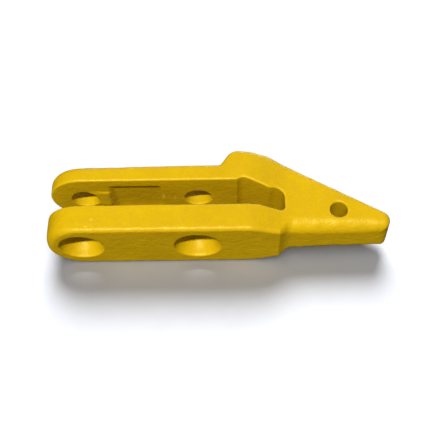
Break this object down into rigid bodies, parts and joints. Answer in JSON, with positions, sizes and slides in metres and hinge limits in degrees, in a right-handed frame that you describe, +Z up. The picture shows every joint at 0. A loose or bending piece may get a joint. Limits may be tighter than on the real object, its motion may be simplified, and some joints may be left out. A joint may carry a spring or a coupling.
{
  "type": "excavator bucket tooth adapter",
  "caption": "One-piece cast steel bolt-on tooth adapter with a forked two-strap shank for a bucket lip and a tapered wedge nose with a cross pin hole.",
  "frame": {"origin": "bottom centre of the casting's box, with the casting lying on the long side faces of its straps", "axes": "+X along the casting from the rear bolt hole to the nose's tip; +Y from the thick strap, which takes the bolt heads, to the thin strap and the pad; +Z up, across the width, along the pin hole. The casting is symmetric about the plane half way up its width. In use the pin hole lies level and the nose points into the ground."},
  "size_m": [0.322, 0.0864, 0.066],
  "materials": {
    "yellow_enamel": "satin yellow enamel over an as-cast steel surface, slightly dusty and rubbed thin along the edges"
  },
  "bodies": {
    "root": {"adapter_casting": "yellow_enamel"}
  },
  "joints": []
}
